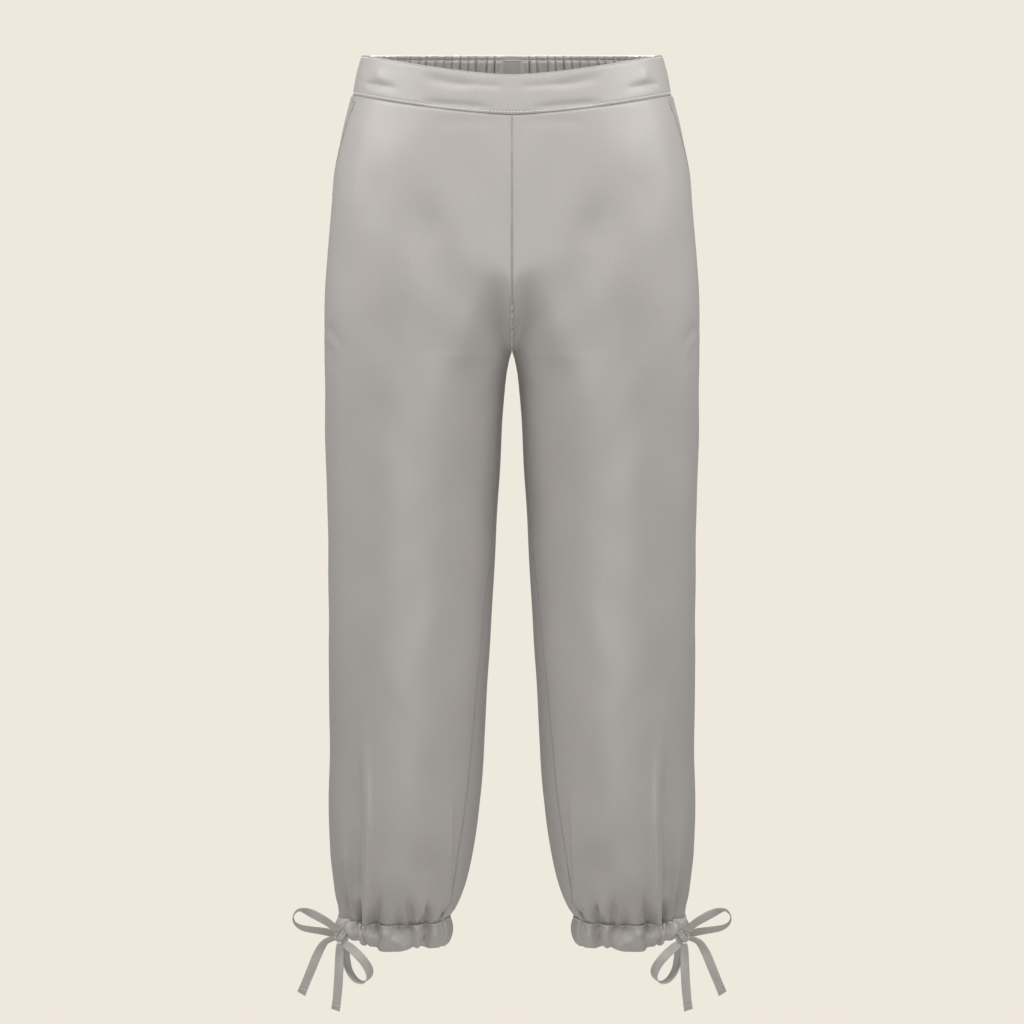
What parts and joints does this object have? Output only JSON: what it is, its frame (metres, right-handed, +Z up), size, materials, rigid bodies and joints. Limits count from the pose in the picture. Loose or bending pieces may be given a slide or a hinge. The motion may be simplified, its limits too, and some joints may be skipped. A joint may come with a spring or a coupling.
{
  "type": "trousers",
  "caption": "Loose satin trousers with a smooth front waistband, a gathered elastic back waistband, slant side pockets and gathered ankle casings tied with flat bows.",
  "frame": {"origin": "centre of the waist opening, level with the top edge of the waistband at the sides, where the trousers are held", "axes": "+Z up towards the waist, +X towards the wearer's left, +Y towards the back, so the front faces -Y"},
  "size_m": [0.4648, 0.2585, 1.0144],
  "materials": {
    "satin": "soft satin sheen, warm light grey",
    "satin_band": "soft satin sheen, slightly lighter, gathered behind",
    "tape": "flat satin tape, edges folded in"
  },
  "bodies": {
    "root": {"front_left": "satin", "back_left": "satin", "cuff_left": "satin", "front_right": "satin", "back_right": "satin", "cuff_right": "satin", "waistband_front": "satin_band", "waistband_back": "satin_band", "tie_left_knot": "tape", "tie_left_loop_upper": "tape", "tie_left_loop_lower": "tape", "tie_left_tail_outer": "tape", "tie_left_tail_inner": "tape", "tie_right_knot": "tape", "tie_right_loop_upper": "tape", "tie_right_loop_lower": "tape", "tie_right_tail_outer": "tape", "tie_right_tail_inner": "tape"}
  },
  "joints": []
}
